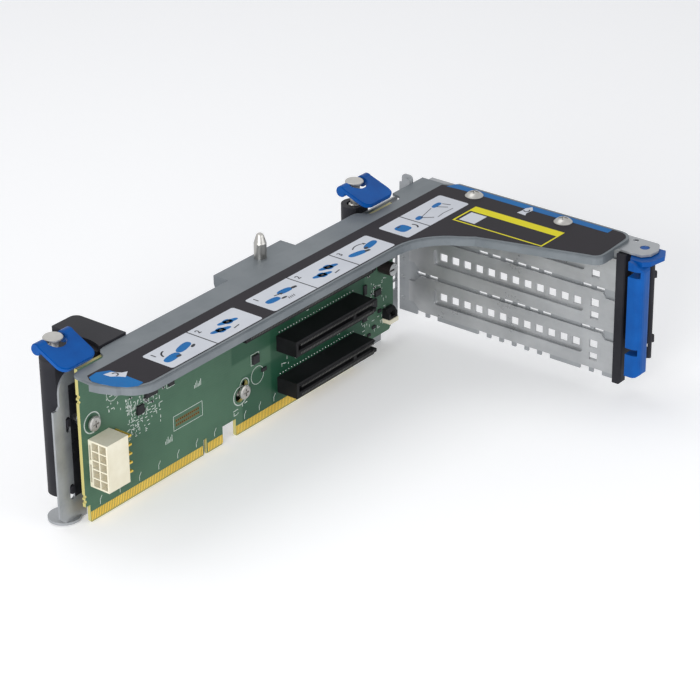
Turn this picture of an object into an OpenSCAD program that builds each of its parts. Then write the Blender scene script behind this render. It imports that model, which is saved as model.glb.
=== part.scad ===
// Riser cage bracket: an L-shaped sheet steel cage that carries a riser board with three
// card slots, a rear panel with three vented slot covers, two half-turn latches,
// a guide pin and a hinged slot retainer.
// Frame: +X along the rail towards the rear panel, +Y behind the board, +Z up.
// Origin: bottom left corner of the board's first edge tongue, on its component side.

/* [Cage] */
// Height of the rail's top face above the edge tongues
rail_top = 73.4; // [70:0.1:78]
// Thickness of the rail and foot sheet
sheet = 1.2; // [0.8:0.1:2]
// Depth of the lip folded down along the rail's front edge
lip_depth = 4; // [2:0.1:8]
// Front face of the wall behind the board
wall_y = 6.2; // [4:0.1:9]
// Thickness of the wall and the rear panel
wall_t = 1; // [0.8:0.1:1.6]

/* [Card slots] */
// Spacing of neighbouring card slots
slot_pitch = 20.32; // [20.32:0.01:20.32]
// Height of the lowest slot's centre line
slot_z = 13.18; // [12:0.01:15]
// End of the slot connectors nearest the rear panel
slot_end = 176.7; // [170:0.1:180]
// Distance a connector stands off the board
slot_height = 11.25; // [10:0.05:12]
// Width of a connector across its slot
slot_width = 7.5; // [6:0.1:9]

/* [Rear panel] */
// Inner face of the slot covers
cover_x = 222.3; // [220:0.1:225]
// Sheet thickness of a slot cover
cover_t = 0.9; // [0.7:0.1:1.2]
// Height of a slot cover
cover_h = 18.2; // [17:0.1:19]
// Number of vent holes along a cover
vents = 12; // [6:1:14]
// Spacing of the vent holes
vent_pitch = 6.67; // [6:0.01:8]
// Side of a vent hole
vent = 4; // [3:0.1:5]
// Depth of the pressed pocket
pocket = 1.6; // [1:0.1:2.5]

/* [Latches] */
// Distance of the latch axes behind the board's face
latch_y = 11.6; // [10:0.1:14]
// Position of the front latch
latch_front = -3.4; // [-6:0.1:0]
// Position of the rear latch
latch_rear = 191.6; // [188:0.1:194]
// Height of the wing's hinge line
hinge_z = 81.2; // [80.6:0.1:81.6]
// Angle at which the folded front wing slopes down
front_tilt = 27; // [18:1:27]
// Angle at which the folded rear wing slopes down
rear_tilt = 20; // [18:1:27]
// Half width of the wing
wing_half = 10.1; // [9:0.1:11]
// Reach of the wing from its hinge line
wing_reach = 15.7; // [14:0.1:15.7]

/* [Hidden] */
$fn = 40;
E = 0.02;                        // small overrun for clean cuts
under = rail_top - sheet;        // underside of the rail
board_t = 1.6;
cover_mid = slot_z + 5.97;       // centre of the lowest cover
pocket_mid = cover_mid + 0.75;   // centre of the lowest pocket
frame_x = cover_x + cover_t + 0.1;
wall_back = wall_y + wall_t;
steel = [0.60, 0.62, 0.64];
bright = [0.78, 0.78, 0.77];
black = [0.10, 0.10, 0.11];
blue = [0.03, 0.25, 0.62];
green = [0.10, 0.30, 0.20];
gold = [0.80, 0.62, 0.25];
cream = [0.88, 0.84, 0.74];

// one node's name, or all of them

// ---- plan geometry helpers ----

// points on an arc about c, from angle a0 to a1
function arc(c, r, a0, a1, n = 6) =
    [for (i = [0:n]) c + r * [cos(a0 + (a1 - a0) * i / n), sin(a0 + (a1 - a0) * i / n)]];

// left-hand normal of the chord around point i of an open line
function normal(p, i) =
    let (a = p[max(i - 1, 0)], b = p[min(i + 1, len(p) - 1)], d = b - a)
    [-d[1], d[0]] / norm(d);

// a band of width w on the left of an open line
function band(p, w) =
    concat(p, [for (i = [len(p) - 1:-1:0]) p[i] + w * normal(p, i)]);

// a line moved sideways
function beside(p, w) = [for (i = [0:len(p) - 1]) p[i] + w * normal(p, i)];

module plate(points, z, t) { translate([0, 0, z]) linear_extrude(t) polygon(points); }

// a sheet standing in the X-Z plane, drawn as (x, z)
module upright(y, t) { translate([0, y + t, 0]) rotate([90, 0, 0]) linear_extrude(t) children(); }

// a sheet standing in the Y-Z plane, drawn as (y, z)
module crosswise(x, t) {
    translate([x, 0, 0]) rotate([90, 0, 90]) linear_extrude(t) children();
}

module disc(x, y, z, r, h) { translate([x, y, z]) cylinder(r = r, h = h); }

module rounded(w, h, r) {
    square([w - 2 * r, h], center = true);
    square([w, h - 2 * r], center = true);
    for (x = [-1, 1], y = [-1, 1]) translate([x * (w / 2 - r), y * (h / 2 - r)]) circle(r);
}

// ---- rail ----

// the lipped edge, walked from the left end round the front to the right end
lipped = concat(
    [[-10.4, -13.6], [-9.4, -18], [-6.6, -24.8]],
    arc([6.8, -21.6], 12.6, 200, 268, 7),
    [[100, -34.2], [163, -34.2]],
    arc([163, -61.2], 27, 88, 25, 8),
    [[191.2, -55.4], [194, -65]],
    [[205, -104.8]],
    arc([210.6, -105.2], 5.4, 184, 270, 5),
    [[217.6, -110.6]]);

// the plain edge, walked on from there round the back to the left end
plain = concat(
    [[218, -109.8]],
    arc([228.6, -102.8], 7, -88, 0, 6),
    [[235.6, -15.2], [233.6, -13.8], [231.3, -9.4], [231.3, 2.9], [208.6, 2.9]],
    arc([204.4, 0.2], 3.7, 0, -90, 4),
    [[187, -3.55]],
    arc([187, 0.45], 4, -90, -160, 4),
    arc([178.6, -1.5], 4.4, 14, 90, 4),
    [[16.1, 2.9], [13.4, 2.3], [11.6, 0.4], [10.4, -2.4], [8.4, -3.55]],
    arc([-6.6, -6.95], 3.4, 90, 180, 4));

module rail() {
    inner = beside(lipped, 1);
    color(steel) difference() {
        union() {
            // the fold along the lipped edge is rounded in three steps
            plate(concat(lipped, plain), under, sheet - 0.8);
            plate(concat(beside(lipped, 0.15), plain), under, sheet - 0.4);
            plate(concat(beside(lipped, 0.5), plain), under, sheet);
            plate(band(lipped, sheet), rail_top - lip_depth, lip_depth - sheet + E);
            // folded-down back edge behind the board's top
            translate([16.1, 2.9 - sheet, 62]) cube([161, sheet, under - 62 + E]);
        }
        for (y = [-28.5, -76.8]) disc(228.2, y, under - 1, 1.9, sheet + 2);
        // pressed locating dimple at the right end
        translate([214.4, -107.2, rail_top + 1.2]) sphere(r = 1.6);
    }
}

module label_sheet() {
    edge = beside(lipped, 1.6);
    color(black) difference() {
        plate(concat([for (i = [1:len(edge) - 2]) edge[i]],
            [[216, -109], [227.5, -108.4]], arc([228.2, -102.6], 6, -70, 0, 4),
            [[234.2, -16.4], [231.4, -14.8], [229.6, -9.4], [-6.6, -9.4], [-8.8, -12.6]]),
            rail_top, 0.15);
        for (y = [-28.5, -76.8]) disc(228.2, y, rail_top - 1, 2.2, 3);
    }
}

module truss_screw(x, y, z) {
    color(bright) difference() {
        union() {
            intersection() {
                translate([x, y, z - 3.2]) sphere(r = 5.4, $fn = 48);
                disc(x, y, z + E, 4.2, 4);
            }
            disc(x, y, z - 5.4, 1.7, 5.4 + 2 * E);
        }
        for (a = [0, 90]) translate([x, y, z + 2.1]) rotate([0, 0, a + 30])
            cube([4.2, 0.8, 1.6], center = true);
    }
}

module top_screws() { for (y = [-28.5, -76.8]) truss_screw(228.2, y, rail_top + 0.15); }

// ---- wall behind the board ----

foot_half = 7.6;
foot_r = 7.1;

module foot(x) {
    difference() {
        union() {
            disc(x, latch_y, 0, foot_r, sheet);
            translate([x - 3.6, wall_y, 0]) cube([3.6 + foot_half, latch_y - wall_y, sheet]);
        }
        disc(x, latch_y, -1, 2.4, 4);
    }
}

module obround(x, z, w, h) {
    translate([x, z]) {
        square([w, h - w], center = true);
        for (s = [-1, 1]) translate([0, s * (h - w) / 2]) circle(w / 2);
    }
}

module back_wall() {
    l = latch_front;
    color(steel) union() {
        difference() {
            upright(wall_y, wall_t) polygon(concat(
                [[l - foot_half + 4, 0], [l + foot_half, 0], [l + foot_half, 9], [184, 9],
                 [184, 0], [203.6, 0], [203.6, 9], [216.6, 9], [216.6, 68.6]],
                arc([0.4, 60.6], 8, 90, 180, 6),
                [[-7.6, 55], [-9, 53.6], [l - foot_half - 0.4, 53.6], [l - foot_half - 0.4, 4.2]]));
            upright(wall_y - 1, wall_t + 2) {
                for (x = [latch_front, latch_rear], z = [14, 45]) obround(x, z, 2.6, 7);
                // windows beyond the board's end
                translate([210.4, 32.8]) square([5.4, 5.2]);
                translate([210.4, 26.9]) square([5.4, 5]);
                translate([213, 21.9]) square([2.8, 4]);
                // clearance for the board screws' tails
                for (p = screw_at) translate(p) circle(1.3);
            }
        }
        foot(latch_front);
        foot(latch_rear);
        // top ledge and welded flange behind the rail
        translate([18, 2.9, 67.4]) cube([156, wall_y - 2.9 + E, sheet]);
        translate([18, 2.9, 63]) cube([156, 1, 4.4 + E]);
    }
}

// black film between the wall and the board
module insulator() {
    color(black) upright(wall_y - 0.27, 0.25) difference() {
        translate([-2.2, 11.3]) square([182, 51]);
        for (p = screw_at) translate(p) circle(3.2);
    }
}

// ---- guide pin ----

pin_x = 121.6;
pin_y = 8.5;
shelf = rail_top - 1.2;          // top of the pin bracket

module pin_bracket() {
    color(steel) difference() {
        union() {
            translate([95.6, 2.9 + E, shelf - sheet]) cube([45, 10, sheet]);
            // side flange with a rounded corner
            translate([95.6, 0, 0]) crosswise(0, sheet) difference() {
                translate([2.9 + E, shelf - 6.6]) square([10, 6.6 - E]);
                difference() {
                    translate([9.9 + E, shelf - 6.6 - E]) square([3.1, 3]);
                    translate([9.9 + E, shelf - 3.6]) circle(3);
                }
            }
            // rear flange down to the wall
            translate([100, wall_back + E, shelf - 14]) cube([36, sheet, 14 - sheet + E]);
        }
        // room for the wall's top edge
        translate([95, 2.8, 60]) cube([3, wall_back - 2.75, 8.65]);
        disc(pin_x, pin_y, shelf - sheet, 2, 4);
    }
}

module guide_pin() {
    color(bright) {
        disc(pin_x, pin_y, shelf - sheet, 2, sheet + E);
        translate([pin_x, pin_y, shelf]) rotate_extrude()
            polygon([[0, 0], [2.8, 0], [2.8, 7], [2.6, 7.6], [1.9, 10], [1.5, 10.9],
                [0.9, 11.4], [0, 11.5]]);
    }
}

// ---- rear panel ----

open_lo = -102.6;                // frame opening, along Y
open_hi = -7.4;
end_y = -109.4;                  // outer end of the frame plate
fingers = [0, 1, 5, 6, 7, 8, 9, 10, 13, 14];
tab_lo = -124.8;
pivot = [229.3, -118.8];         // hinge line of the slot retainer
lug_z = [27, 64.4];

module lug(z) {
    translate([pivot[0] - 3.6, pivot[1], z]) cube([7.2, end_y - pivot[1] + 0.5, sheet]);
    disc(pivot[0], pivot[1], z, 3.6, sheet);
}

module rear_frame() {
    color(steel) difference() {
        union() {
            crosswise(frame_x, wall_t) {
                translate([end_y, 7.4]) square([10.2 - end_y, under - 7.4]);
                // upright ear behind the rail
                translate([3.1, under - 1]) square([5.7, 3.6]);
                translate([4.9, under - 1]) square([2.1, 5.4]);
                for (y = [4.9, 7]) translate([y, under + 2.6]) circle(1.8);
            }
            // round boss on the ear
            translate([frame_x - 0.4, 5.9, under + 0.9]) rotate([0, 90, 0]) cylinder(r = 2, h = 1);
            // top flange under the rail, running on as the end plate
            translate([frame_x, -109, under - wall_t]) cube([236.2 - frame_x, 110, wall_t]);
            plate([[221.4, -109.4], [235.8, -109], [236.2, -108], [236.2, -121.6], [235, -122.8],
                [230, tab_lo - 0.4], [224.8, tab_lo], [221.4, -121.8]], under - wall_t, wall_t);
            // shelf for the covers' end tabs
            translate([frame_x, end_y, 8]) cube([235.6 - frame_x, wall_t, under - 8 - E]);
            for (z = lug_z) lug(z);
            // raised dimples on the flange beside the covers
            for (z = [13.8, 24.7, 34]) translate([frame_x, 8.2, z])
                rotate([0, -90, 0]) cylinder(r1 = 1.1, r2 = 0.6, h = 0.6);
        }
        for (k = [0:2]) translate([0, 0, k * slot_pitch]) {
            crosswise(frame_x - 1, 3) {
                translate([open_lo, pocket_mid - 6]) square([open_hi - open_lo, 12]);
            }
            // windows between the spring fingers
            for (i = fingers) translate([frame_x - 1, -2.5 - 7 * i, cover_mid - 10.2])
                translate([0, -2.4, -0.7]) cube([3, 4.8, 1.4]);
        }
        // open teeth along the bottom edge
        for (i = fingers) translate([frame_x - 1, -2.5 - 7 * i - 2.4, 6])
            cube([3, 4.8, 3]);
        for (y = [-28.5, -76.8]) disc(228.2, y, under - 2, 1.75, 3);
        // rounded hole and pivot hole in the end plate
        disc(233.4, -111.6, under - 3, 1.3, 5);
        disc(pivot[0], pivot[1], under - 2, 2.2, 3);
        for (z = lug_z) disc(pivot[0], pivot[1], z - 1, 1.5, 4);
    }
}

// one slot cover; k counts up from the lowest
module slot_cover(k) {
    mid = cover_mid + k * slot_pitch;
    pm = pocket_mid + k * slot_pitch;
    pocket_y = -51.4;
    wide = 84.2;
    color(bright) difference() {
        union() {
            crosswise(cover_x, cover_t) difference() {
                polygon([[-109.5, mid - cover_h / 2], [-3, mid - cover_h / 2],
                    [1, mid - 5.2], [4, mid - 5.2], [4, mid + 5.2], [1, mid + 5.2],
                    [-3, mid + cover_h / 2], [-102.4, mid + cover_h / 2],
                    [-104.2, mid + 6.6], [-109.5, mid + 6.6]]);
                translate([pocket_y, pm]) rounded(wide - 0.2, 9.4, 2.3);
            }
            // pressed pocket
            crosswise(cover_x, cover_t + pocket) difference() {
                translate([pocket_y, pm]) rounded(wide, 9.6, 2.4);
                translate([pocket_y, pm]) rounded(wide - 1.8, 7.8, 1.6);
            }
            crosswise(cover_x + pocket, cover_t)
                translate([pocket_y, pm]) rounded(wide - 0.2, 9.4, 2.3);
            // folded end tab
            translate([cover_x, -110.3, mid - cover_h / 2])
                cube([11.4, cover_t, cover_h - 4.8]);
        }
        for (i = [0:vents - 1]) translate([cover_x - 1, -14.9 - vent_pitch * i - vent / 2, pm - 1.9])
            cube([5, vent, 3.8]);
        for (z = [-4.2, 2.1]) translate([cover_x - 1, -100.6, pm + z - 1.85]) cube([3, 4.2, 3.7]);
        // open screw notch in the end tab
        translate([cover_x + 6.4, -112, mid - 3]) cube([6, 3.4, 4.4]);
    }
}

module slot_cover_1() { slot_cover(2); }
module slot_cover_2() { slot_cover(1); }
module slot_cover_3() { slot_cover(0); }

// ---- riser board ----

tongues = [0, 92];
screw_at = [[4, 44.8], [97.1, 19.9]];
keyhole = [[95.6, 18.3], [98.6, 22.6]];

module riser_board() {
    color(green) difference() {
        upright(0, board_t) polygon([[-2.6, 8.2], [0, 8.2], [0, 0.4], [0.4, 0], [82.9, 0],
            [83.3, 0.4], [83.3, 8.4], [92, 8.4], [92, 0.4], [92.4, 0], [174.9, 0],
            [175.3, 0.4], [175.3, 8.2], [201.6, 8.2], [204.8, 11.4], [204.8, 70.6],
            [177, 70.6], [177, 71.6], [-2.6, 71.6]]);
        upright(-1, board_t + 2) {
            for (x = tongues) translate([x + 70.7, -1]) square([1.9, 8.4]);
            translate(screw_at[0]) circle(2.2);
            // keyhole that hangs the board on its second screw
            translate(keyhole[0]) circle(3.1);
            translate(keyhole[1]) circle(2.1);
            translate((keyhole[0] + keyhole[1]) / 2) rotate(atan2(4.3, 3))
                square([5.2, 4.2], center = true);
            // half-round plated notches on the left edge
            for (z = [10.6, 13, 56.6, 59]) translate([-2.6, z]) circle(0.7);
        }
        // bevelled tongue edges
        for (s = [0, 1]) translate([-1, s * board_t, 0]) rotate([45, 0, 0])
            cube([178, 0.5, 0.5], center = false);
    }
}

module edge_contacts() {
    color(gold) for (x = tongues, y = [-0.06, board_t])
        for (r = [[0.6, 69.6], [73.2, 9.6]])
            translate([x + r[0], y, 0.7]) cube([r[1], 0.06, 4.1]);
}

// length of the connector, row counted up from the lowest
module connector(len_x, row) {
    z = slot_z + row * slot_pitch;
    x0 = slot_end - len_x;
    groove = 1.9;
    color(black) difference() {
        union() {
            translate([x0, -slot_height, z - slot_width / 2])
                cube([len_x, slot_height, slot_width]);
            // raised guide ends
            translate([slot_end - 2.6, -slot_height - 0.8, z - 2.6]) cube([2.6, 1, 5.2]);
        }
        // card groove, split by the key
        translate([x0 + 1.5, -slot_height - 1, z - groove / 2])
            cube([len_x - 17.1, 8.6, groove]);
        translate([slot_end - 13.6, -slot_height - 1, z - groove / 2])
            cube([14, 8.6, groove]);
        // bevelled lead-in along the groove
        translate([x0 + 1.5, -slot_height - 0.6, z]) rotate([45, 0, 0])
            cube([len_x - 1.4, 2, 2]);
        // clipped far corners
        for (s = [-1, 1]) translate([slot_end, -slot_height, z + s * slot_width / 2])
            rotate([0, 45, 0]) cube([1.6, 30, 1.6], center = true);
        // hollow underside over the solder tails
        translate([x0 + 2, -0.7, z - 2.6]) cube([len_x - 4, 1, 5.2]);
    }
}

module slot_connector_1() { connector(89, 2); }
module slot_connector_2() { connector(56, 1); }
module slot_connector_3() { connector(56, 0); }

header = [1, -10.4, 16.5];
header_size = [12.6, 10.4, 21.8];

module power_header() {
    color(cream) difference() {
        union() {
            translate(header) cube(header_size);
            translate([header[0], -2, header[2] + 4]) cube([3, 2, 13]);
        }
        for (i = [0:4], j = [0:1])
            translate([header[0] - 1, header[1] + 0.75 + 4.2 * j, header[2] + 0.8 + 4.15 * i])
                cube([9.6, 3.6, 3.6]);
        // latch recess beside the board
        translate([header[0] - 1, -1.2, header[2] + 2.2]) cube([8, 0.9, 8.4]);
        translate([header[0] - 1, -1.2, header[2] + 12.6]) cube([8, 0.9, 7]);
    }
}

module header_pins() {
    color(gold) for (i = [0:4], j = [0:1]) {
        y = header[1] + 0.75 + 4.2 * j + 1.8;
        z = header[2] + 0.8 + 4.15 * i + 1.8;
        x = 17.8 - 2.4 * j;
        translate([header[0] + 3, y - 0.5, z - 0.5]) cube([5.6, 1, 1]);
        translate([header[0] + 12.6, y - 0.4, z - 0.4]) cube([x - header[0] - 12.6, 0.8, 0.8]);
        translate([x - 0.8, y - 0.4, z - 0.4]) cube([0.8, -y + 0.4, 0.8]);
    }
}

module capacitors() {
    color([0.16, 0.13, 0.12]) for (p = [[196.2, 42.6, 3.2, 7], [187, 66, 3.2, 7]]) difference() {
        translate([p[0], 0, p[1]]) rotate([90, 0, 0]) cylinder(r = p[2], h = p[3]);
        translate([p[0], -p[3] - 0.4, p[1]]) rotate([90, 0, 0]) cylinder(r = 0.4, h = 0.01);
    }
}

// small boxed parts: x, z, width, height, depth
parts_on_board = [[35.4, 42.6, 7, 5, 1.3], [43, 47, 5, 4, 1.2], [50, 42, 3.2, 2, 0.9],
    [30, 37, 4, 4, 1.2], [22.6, 52, 8, 8, 1.4], [182.4, 33, 2, 4.6, 0.9],
    [186.6, 24, 5, 4, 1.1], [181.6, 19.6, 3, 2, 0.8], [190.6, 29, 4.2, 3, 1],
    [188.6, 13.4, 2.4, 1.4, 0.8], [185.2, 10.8, 2, 1.2, 0.7], [193, 20, 2.2, 1.4, 0.8],
    [110, 24, 3, 1.6, 0.8], [104, 30, 4, 4, 1.1]];

module chips() {
    color(black) for (p = parts_on_board)
        translate([p[0], -p[4], p[1]]) cube([p[2], p[4], p[3]]);
}

module board_screws() {
    color(bright) for (p = screw_at) difference() {
        union() {
            translate([p[0], -1.8, p[1]]) rotate([90, 0, 0]) cylinder(r1 = 3.3, r2 = 2.7, h = 0.5);
            translate([p[0], -1.1, p[1]]) rotate([90, 0, 0]) cylinder(r = 3.3, h = 0.7 + E);
            // shoulder through the board, then the thread in the spacer
            translate([p[0], board_t - E, p[1]]) rotate([90, 0, 0])
                cylinder(r = 1.8, h = board_t + 1.1);
            translate([p[0], wall_back - 1, p[1]]) rotate([90, 0, 0])
                cylinder(r = 1.2, h = wall_back - 1 + E);
        }
        for (a = [0, 90]) translate([p[0], -2.2, p[1]]) rotate([0, a, 0])
            cube([3.4, 1.2, 0.8], center = true);
    }
}

module board_spacers() {
    color(bright) for (p = screw_at) difference() {
        translate([p[0], wall_y, p[1]]) rotate([90, 0, 0])
            cylinder(r = 2.8, h = wall_y - board_t, $fn = 6);
        translate([p[0], wall_y + 1, p[1]]) rotate([90, 0, 0]) cylinder(r = 1.2, h = 8);
    }
}

module edge_clip() {
    color(black) difference() {
        translate([196.6, 0, 0]) crosswise(0, 6.4) polygon([[-4, 15.8], [0, 15.8], [0, 20.6],
            [-2, 20.6], [-4, 18.4]]);
        translate([198, -4.4, 16.8]) cube([3.6, 2.6, 2.4]);
    }
}

module clip_base() {
    color(cream) translate([196.8, -4.4, 13.6]) cube([6.4, 4.4, 2.2]);
}

// ---- latches ----

bore_floor = 52;
barrel_lo = 13;
barrel_r = 6.15;

// the guide tube, its spring chamber and its snap hooks
module barrel_body(x, top) {
    difference() {
        disc(x, latch_y, barrel_lo, barrel_r, top - barrel_lo);
        translate([x - 10, wall_back - 20 + 0.05, 0]) cube([20, 20, 90]);
    }
    for (z = [14, 45]) translate([x - 1, wall_y - 0.8, z - 0.6]) cube([2, 3, 3.4]);
}

module barrel_bore(x) {
    disc(x, latch_y, bore_floor, 3.6, 40);
    disc(x, latch_y, bore_floor - 2 - E, 1.96, 3);
    disc(x, latch_y, 0, 2.6, bore_floor - 2);
}

well_r = 19.3;                   // room for the wing to turn

module front_housing() {
    top = rail_top + 1;
    color(black) difference() {
        union() {
            barrel_body(latch_front, top);
            // deck behind the rail, with its raised block outside the wing's circle
            translate([0, 0, 60]) linear_extrude(12.4) polygon(concat(
                [[-3.4, 8.8], [12.6, 8.8], [12.6, 3.2], [29.9, 3.2]],
                arc([26.6, 28], 3.3, 0, 90, 5), [[15.8, 31.3], [12.6, 25], [4, 17.4],
                [-3.4, 17.4]]));
            difference() {
                translate([0, 0, 70]) linear_extrude(top - 70) polygon(concat(
                    [[12.6, 3.2], [29.9, 3.2]], arc([26.6, 28], 3.3, 0, 90, 5),
                    [[15.8, 31.3], [15.8, 15], [12.6, 10]]));
                disc(latch_front, latch_y, 72.4, well_r, 10);
            }
        }
        barrel_bore(latch_front);
        // hollow beneath the deck, and room for the wall's top and ledge
        translate([14.4, 5, 59]) cube([13.4, 24, 11.4]);
        translate([11, 3, 59]) cube([20, wall_back - 2.95, 9.65]);
    }
}

module rear_barrel() {
    color(black) difference() {
        union() {
            barrel_body(latch_rear, 72.2);
            // mounting ears on the wall
            translate([latch_rear - 10, wall_back + 0.05, 20]) cube([20, 2, 24]);
        }
        barrel_bore(latch_rear);
    }
}

module collar(x) {
    color(bright) difference() {
        disc(x, latch_y, 69.8, 3.2, 1.2);
        disc(x, latch_y, 69, 1.96, 3);
    }
}

module front_collar() { collar(latch_front); }
module rear_collar() { collar(latch_rear); }

// a coil of square wire
module spring(x) {
    turns = 6;
    tall = 69.8 - bore_floor - 0.04;
    sweep = 100;
    color(bright) translate([x, latch_y, bore_floor + 0.02])
        linear_extrude(height = tall, twist = -360 * turns, slices = 60, $fn = 8)
            polygon(concat([for (i = [0:2]) 3.15 * [cos(sweep * i / 2), sin(sweep * i / 2)]],
                [for (i = [2:-1:0]) 2.5 * [cos(sweep * i / 2), sin(sweep * i / 2)]]));
}

module front_spring() { spring(latch_front); }
module rear_spring() { spring(latch_rear); }

module stud(x) {
    head = 83.5;
    color(bright) difference() {
        translate([x, latch_y, 0]) rotate_extrude() polygon([[0, 0.3], [1.5, 0.3], [1.9, 0.9],
            [1.9, 71.05], [2.6, 71.05], [2.6, 72], [1.9, 72.4], [1.9, 78.8], [2.6, 79.2],
            [2.6, 82.1], [3.6, 82.1], [4.2, 82.5], [4.2, 83.1], [3.8, head], [0, head]]);
        translate([x - 5, latch_y, hinge_z]) rotate([0, 90, 0]) cylinder(r = 0.75, h = 10);
    }
}

module front_stud() { stud(latch_front); }
module rear_stud() { stud(latch_rear); }

module cross_pin(x) {
    color(bright) translate([x - 9.2, latch_y, hinge_z]) rotate([0, 90, 0])
        cylinder(r = 0.75, h = 18.4);
}

module front_pin() { cross_pin(latch_front); }
module rear_pin() { cross_pin(latch_rear); }

// the wing slopes down from its hinge line when folded
module wing(x, tilt) {
    color(blue) translate([x, latch_y, hinge_z]) rotate([tilt, 0, 0]) difference() {
        union() {
            translate([0, 0, 0.2]) linear_extrude(2.2) wing_flat(0.35);
            translate([0, 0, 0.55]) linear_extrude(1.5) wing_flat(0);
            // knuckles either side of the stud
            for (s = [-1, 1]) {
                translate([s > 0 ? 5.2 : -wing_half, 0, 0]) rotate([0, 90, 0])
                    cylinder(r = 2.3, h = wing_half - 5.2);
                translate([s > 0 ? 5.2 : 0.5 - wing_half, 0, 0]) rotate([0, 90, 0])
                    cylinder(r = 2.6, h = wing_half - 5.7);
            }
        }
        translate([-9.3, 0, 0]) rotate([0, 90, 0]) cylinder(r = 0.8, h = 18.6);
    }
}

// flat wing with a notch round the stud head, drawn in its own plane
module wing_flat(inset) {
    w = wing_half - inset;
    v = wing_reach - inset;
    difference() {
        polygon(concat([[w, 0.4]], arc([w - 4, -(v - 4)], 4, 0, -90, 6),
            arc([-w + 4, -(v - 4)], 4, -90, -180, 6), [[-w, 0.4]]));
        translate([-5.2, -0.6]) square([10.4, 6]);
        circle(5.3 + inset);
    }
}

module front_wing() { wing(latch_front, front_tilt); }
module rear_wing() { wing(latch_rear, rear_tilt); }

// ---- slot retainer ----

module hinge_pin() {
    color(bright) disc(pivot[0], pivot[1], 22, 1.5, 46);
}

// slots that clear the fixed hinge lugs
module lug_slots() {
    for (z = lug_z) translate([214, -124.9, z - 0.9]) cube([22, 20, sheet + 1.8]);
}

module retainer_envelope() {
    intersection() {
        translate([0, 0, 15.4]) linear_extrude(55.2) polygon(concat(
            [[215.6, -119.2]], arc([219.2, -122.4], 3.6, 180, 270, 5),
            arc([221.9, -123.4], 2.6, -90, 0, 4), [[224.5, -119.2]]));
        crosswise(210, 30) polygon(concat([[-112, 70.6], [-119.4, 70.6]],
            arc([-119.4, 63.6], 7, 90, 180, 6), arc([-123.4, 18.4], 3, 180, 270, 4),
            [[-112, 15.4]]));
    }
}

module slot_retainer() {
    color(blue) difference() {
        union() {
            retainer_envelope();
            // catch arm under the end plate
            plate([[218, -118.6], [218, -124.6], [221, -127.4], [229.4, -128.9], [234.6, -126.2],
                [234.6, -121.6], [230.6, -115.6], [224, -115.6]], 68.6, 2.2);
            disc(pivot[0], pivot[1], 70, 2.15, 1.9);
        }
        disc(pivot[0], pivot[1], 10, 1.55, 60);
        lug_slots();
        // hollow inner side
        for (r = [[16.8, 8.2], [31, 31]])
            translate([217.8, -124.2, r[0]]) cube([4.6, 5.4, r[1]]);
    }
}

module pressure_bar() {
    color(black) difference() {
        union() {
            translate([0, 0, 8]) linear_extrude(62.8) polygon([[219.3, -110.7], [230.6, -110.7],
                [230.6, -112.4], [228, -115.2], [219.8, -115.2], [219.3, -114.7]]);
            // web to the hinge side
            translate([224.8, -119.2, 30.4]) cube([3, 4.1, 31.8]);
        }
        disc(pivot[0], pivot[1], 10, 3.4, 80);
        for (z = lug_z) translate([225, -124, z - 0.9]) cube([12, 20, sheet + 1.8]);
        // cut-away lower end
        translate([223, -116, 7]) cube([10, 8, 7]);
        translate([219, -115.3, 7.9]) rotate([45, 0, 0]) cube([20, 1.8, 1.8], center = true);
    }
}

// black hinge leaf behind the blue face, with two ears
module retainer_back() {
    color(black) difference() {
        union() {
            plate([[224.7, -119.4], [224.7, -124.6], [225.6, -126], [226.5, -126.1],
                [227.4, -125], [227.8, -119.4]], 22, 46.4);
            for (r = [[29.4, 3], [60.6, 2.6]])
                plate([[224.7, -119.4], [224.7, -125], [227.6, -126.6], [228.9, -125.6],
                    [229.4, -119.4]], r[0], r[1]);
            disc(pivot[0], pivot[1], 29.4, 3.2, 33.8);
        }
        disc(pivot[0], pivot[1], 10, 1.55, 80);
        lug_slots();
    }
}

rail();
label_sheet();
back_wall();
insulator();
pin_bracket();
guide_pin();
rear_frame();
slot_cover_1();
slot_cover_2();
slot_cover_3();
top_screws();
riser_board();
edge_contacts();
slot_connector_1();
slot_connector_2();
slot_connector_3();
power_header();
header_pins();
capacitors();
chips();
board_screws();
board_spacers();
edge_clip();
clip_base();
front_housing();
rear_barrel();
front_collar();
rear_collar();
front_spring();
rear_spring();
front_stud();
rear_stud();
front_pin();
rear_pin();
front_wing();
rear_wing();
hinge_pin();
slot_retainer();
pressure_bar();
retainer_back();
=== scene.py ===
import math
import random

import bmesh
import bpy
from mathutils import Matrix, Vector


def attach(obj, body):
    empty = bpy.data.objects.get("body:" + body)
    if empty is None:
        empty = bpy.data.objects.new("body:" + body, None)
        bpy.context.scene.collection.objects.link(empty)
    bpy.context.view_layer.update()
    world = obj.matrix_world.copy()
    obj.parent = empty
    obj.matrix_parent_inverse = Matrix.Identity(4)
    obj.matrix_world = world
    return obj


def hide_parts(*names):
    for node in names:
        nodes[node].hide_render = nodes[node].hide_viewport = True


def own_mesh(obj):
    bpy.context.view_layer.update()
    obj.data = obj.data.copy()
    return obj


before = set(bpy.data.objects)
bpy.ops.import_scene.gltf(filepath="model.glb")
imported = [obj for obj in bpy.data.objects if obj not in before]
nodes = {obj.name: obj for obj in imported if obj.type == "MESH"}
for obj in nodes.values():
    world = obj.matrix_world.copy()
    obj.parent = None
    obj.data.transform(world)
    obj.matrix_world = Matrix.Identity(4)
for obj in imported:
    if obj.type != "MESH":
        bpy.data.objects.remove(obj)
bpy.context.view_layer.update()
mm = 0.001
print("frame loaded:", len(nodes), "nodes")


# camera, light and floor

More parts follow.
